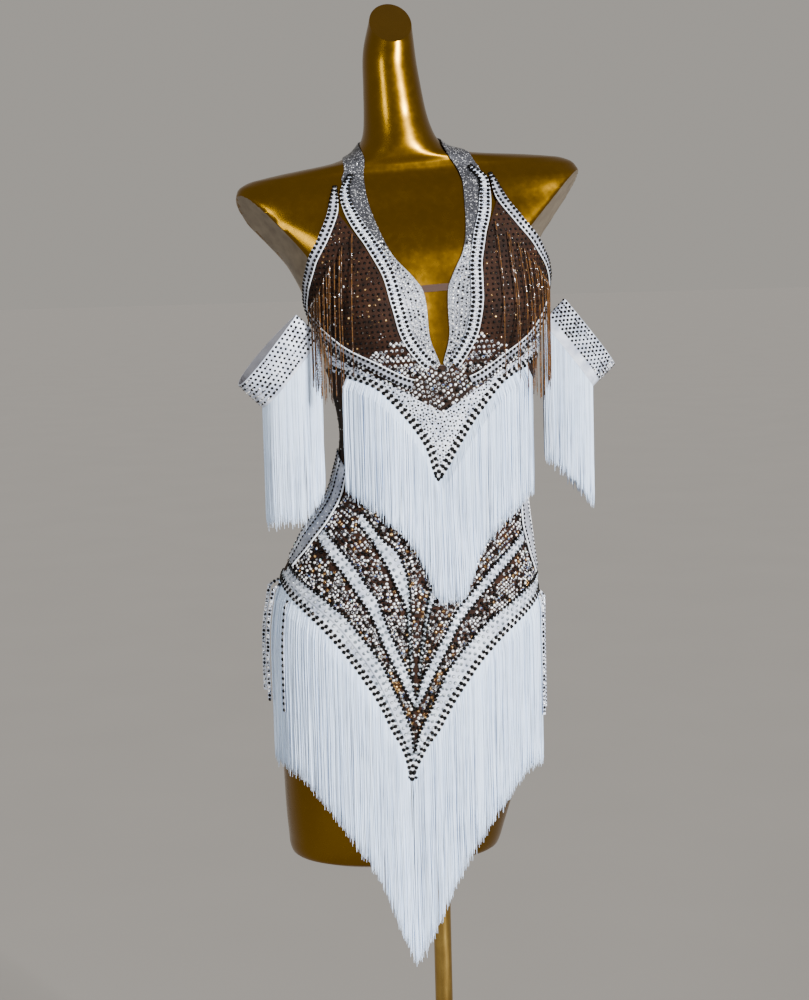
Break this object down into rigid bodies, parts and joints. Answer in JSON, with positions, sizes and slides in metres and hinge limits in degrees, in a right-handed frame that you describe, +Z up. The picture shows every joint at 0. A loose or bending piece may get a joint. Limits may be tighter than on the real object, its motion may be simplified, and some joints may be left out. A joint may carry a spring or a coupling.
{
  "type": "latin dance dress on dress form",
  "caption": "Halter-neck latin dance dress with stoned cups, V-shaped hip panel, armbands and long white fringe, worn by a gold limbless dress form on a pole and round base.",
  "frame": {"origin": "centre of the round base's flat underside, under the pole", "axes": "+Z up along the pole, -Y towards the front of the dress, +X to the right as seen from the front"},
  "size_m": [0.4572, 0.33, 1.6301],
  "materials": {
    "form_gold": "polished metallic gold lacquer",
    "stand_gold": "gold lacquer, slightly worn",
    "white_satin": "white satin set with crystals and jet stones",
    "brown_mesh": "chocolate stretch mesh set with small stones",
    "brown_net": "open brown net",
    "silver_glitter": "silver-grey glitter cloth",
    "nude_elastic": "matt nude elastic",
    "white_fringe": "cool white silky chainette fringe",
    "amber_beads": "amber brown bugle beads"
  },
  "bodies": {
    "root": {"form_torso": "form_gold", "stand_pole": "stand_gold", "stand_base": "stand_gold", "cup_left": "brown_mesh", "cup_right": "brown_mesh", "neck_strip_left": "silver_glitter", "neck_strip_right": "silver_glitter", "halter_band_left": "white_satin", "halter_band_right": "white_satin", "cup_band_left": "white_satin", "cup_band_right": "white_satin", "keyhole_bar": "nude_elastic", "bust_point_panel": "white_satin", "midriff_net": "brown_net", "back_band": "white_satin", "hip_panel": "brown_mesh", "hip_back_panel": "brown_mesh", "ray_band_outer": "white_satin", "ray_band_middle": "white_satin", "hip_band_left": "white_satin", "hip_band_right": "white_satin", "armband_left": "white_satin", "armband_right": "white_satin", "bodice_fringe": "white_fringe", "skirt_fringe_front": "white_fringe", "skirt_fringe_back": "white_fringe", "arm_fringe_left": "white_fringe", "arm_fringe_right": "white_fringe", "bead_fringe_left": "amber_beads", "bead_fringe_right": "amber_beads"}
  },
  "joints": []
}
